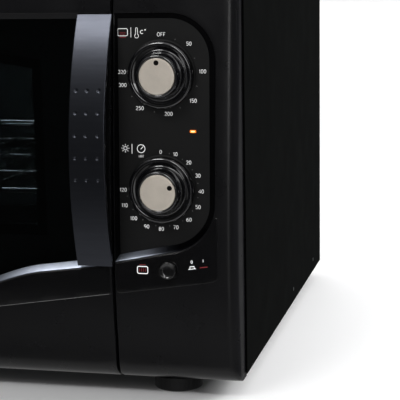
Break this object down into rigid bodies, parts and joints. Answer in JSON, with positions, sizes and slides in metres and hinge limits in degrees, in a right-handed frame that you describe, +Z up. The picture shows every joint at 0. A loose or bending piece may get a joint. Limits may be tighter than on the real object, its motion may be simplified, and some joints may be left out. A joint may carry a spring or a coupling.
{
  "type": "rotisserie oven",
  "caption": "Countertop electric oven with a side-hinged window door, bow handle, two turning dials, push button and a motor-driven spit.",
  "frame": {"origin": "on the table under the middle of the overall box", "axes": "+X to the control panel side, +Y to the rear, +Z up"},
  "size_m": [0.58, 0.481, 0.365],
  "materials": {
    "cover_black": "satin black enamel on sheet steel",
    "case_steel": "semi-matt dark paint on sheet steel",
    "cavity_enamel": "grey speckled oven enamel",
    "bright_steel": "plain drawn steel",
    "zinc_steel": "zinc plated",
    "wool": "mineral wool blanket",
    "foot_black": "ribbed black plastic",
    "shell_black": "satin-gloss black moulding",
    "dial_black": "fine matt black print plate",
    "trim_silver": "pale silver metallic",
    "inlay_black": "piano black",
    "knob_black": "polished black",
    "cap_champagne": "satin champagne",
    "control_zinc": "zinc plated control bodies",
    "copper": "drawn copper tube",
    "button_black": "smoke black, clear coated",
    "lamp_amber": "glowing amber lens",
    "ceramic": "glazed steatite",
    "gland_black": "moulded black",
    "element_steel": "heat-darkened sheath",
    "bulb_glass": "clear lamp glass",
    "door_glass": "smoked tempered glass",
    "inner_black": "black enamel",
    "tray_enamel": "black enamel",
    "handle_steel": "dark brushed metallic strap",
    "seal_grey": "grey silicone"
  },
  "bodies": {
    "oven": {"outer_cover": "cover_black", "base_plate": "case_steel", "rear_panel": "case_steel", "rear_spacers": "gland_black", "front_frame": "inner_black", "cavity_liner": "cavity_enamel", "shelf_runners": "bright_steel", "insulation": "wool", "heat_shield": "zinc_steel", "feet": "foot_black", "case_screws": "zinc_steel", "panel_bezel": "shell_black", "dial_plate": "dial_black", "panel_trim_band": "trim_silver", "panel_inlay": "inlay_black", "thermostat_body": "control_zinc", "sensing_bulb": "copper", "timer_body": "control_zinc", "button_switch": "gland_black", "indicator_lamp": "lamp_amber", "terminal_block": "ceramic", "cord_gland": "gland_black", "upper_element": "element_steel", "lower_element": "element_steel", "element_ceramics": "ceramic", "lamp_holder": "ceramic", "lamp_bulb": "bulb_glass", "lamp_cover": "bulb_glass", "spit_motor": "control_zinc", "spit_support": "zinc_steel", "hinge_arms": "zinc_steel", "hinge_pins": "bright_steel", "door_seal": "seal_grey", "magnetic_catch": "zinc_steel"},
    "door": {"door_shell": "shell_black", "outer_glass": "door_glass", "inner_door_panel": "inner_black", "inner_glass": "door_glass", "door_trim_band": "trim_silver", "door_inlay": "inlay_black", "handle": "handle_steel", "handle_screws": "zinc_steel", "striker_plate": "zinc_steel", "hinge_lugs": "gland_black"},
    "thermostat_dial": {"thermostat_shaft": "zinc_steel", "thermostat_knob": "knob_black", "thermostat_cap": "cap_champagne"},
    "timer_dial": {"timer_shaft": "zinc_steel", "timer_knob": "knob_black", "timer_cap": "cap_champagne"},
    "button": {"browning_button": "button_black"},
    "drive": {"motor_shaft": "zinc_steel", "drive_socket": "zinc_steel"},
    "spit": {"spit_rod": "bright_steel"},
    "left_fork": {"left_fork": "bright_steel", "left_fork_screw": "bright_steel"},
    "right_fork": {"right_fork": "bright_steel", "right_fork_screw": "bright_steel"},
    "shelf": {"wire_shelf": "bright_steel"},
    "tray": {"drip_tray": "tray_enamel"}
  },
  "joints": [
    {"name": "door_hinge", "type": "hinge", "parent": "oven", "child": "door", "pos_m": [-0.285, -0.2075, 0.156], "axis": [0, 0, -1], "range_deg": [0, 105]},
    {"name": "thermostat_turn", "type": "hinge", "parent": "oven", "child": "thermostat_dial", "pos_m": [0.2284, -0.2105, 0.2538], "axis": [0, 1, 0], "range_deg": [0, 273]},
    {"name": "timer_turn", "type": "hinge", "parent": "oven", "child": "timer_dial", "pos_m": [0.2284, -0.2105, 0.1655], "axis": [0, 1, 0], "range_deg": [-67.5, 202.5]},
    {"name": "button_press", "type": "slide", "parent": "oven", "child": "button", "axis": [0, 1, 0], "range_m": [0, 0.0035], "stiffness_N_per_m": 400, "springref_m": -0.002},
    {"name": "spit_spin", "type": "hinge", "parent": "oven", "child": "drive", "pos_m": [0, -0.013, 0.192], "axis": [1, 0, 0], "continuous": true},
    {"name": "spit_release", "type": "slide", "parent": "drive", "child": "spit", "axis": [-1, 0, 0], "range_m": [0, 0.014]},
    {"name": "left_fork_slide", "type": "slide", "parent": "spit", "child": "left_fork", "axis": [1, 0, 0], "range_m": [0, 0.06]},
    {"name": "right_fork_slide", "type": "slide", "parent": "spit", "child": "right_fork", "axis": [-1, 0, 0], "range_m": [0, 0.06]},
    {"name": "shelf_slide", "type": "slide", "parent": "oven", "child": "shelf", "axis": [0, -1, 0], "range_m": [0, 0.024]},
    {"name": "tray_slide", "type": "slide", "parent": "oven", "child": "tray", "axis": [0, -1, 0], "range_m": [0, 0.024]}
  ]
}
